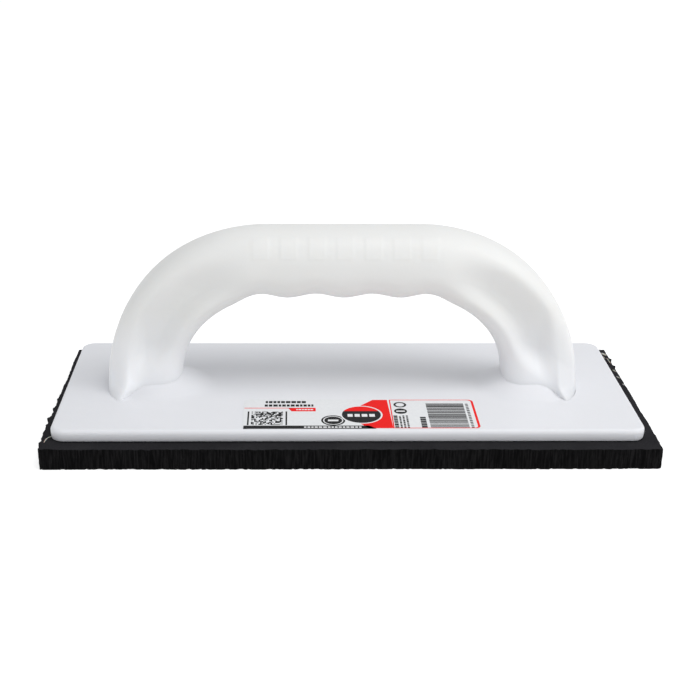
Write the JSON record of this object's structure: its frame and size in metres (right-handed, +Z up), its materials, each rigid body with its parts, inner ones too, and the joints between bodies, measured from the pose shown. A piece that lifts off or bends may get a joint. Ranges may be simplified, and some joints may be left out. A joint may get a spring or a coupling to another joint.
{
  "type": "rubber hand float",
  "caption": "Flat hand float: a rectangular black rubber pad glued under a white moulded plate with raised seats, and a white bow handle with finger grooves screwed on top.",
  "frame": {"origin": "centre of the rubber pad's working face, on the surface the float stands on", "axes": "+X along the float, +Y across it towards the side without the label, +Z up from the working face to the handle"},
  "size_m": [0.28, 0.12, 0.0953],
  "materials": {
    "pad_rubber": "matte black cellular rubber, knife-cut edges",
    "adhesive": "whitish dried contact adhesive",
    "plate_plastic": "white moulded polyethylene, satin",
    "handle_plastic": "natural white polyethylene, slightly translucent satin",
    "screw_steel": "zinc-plated steel",
    "label_film": null
  },
  "bodies": {
    "root": {"rubber_pad": "pad_rubber", "contact_adhesive": "adhesive", "base_plate": "plate_plastic", "handle": "handle_plastic", "handle_screws": "screw_steel", "label": "label_film"}
  },
  "joints": []
}
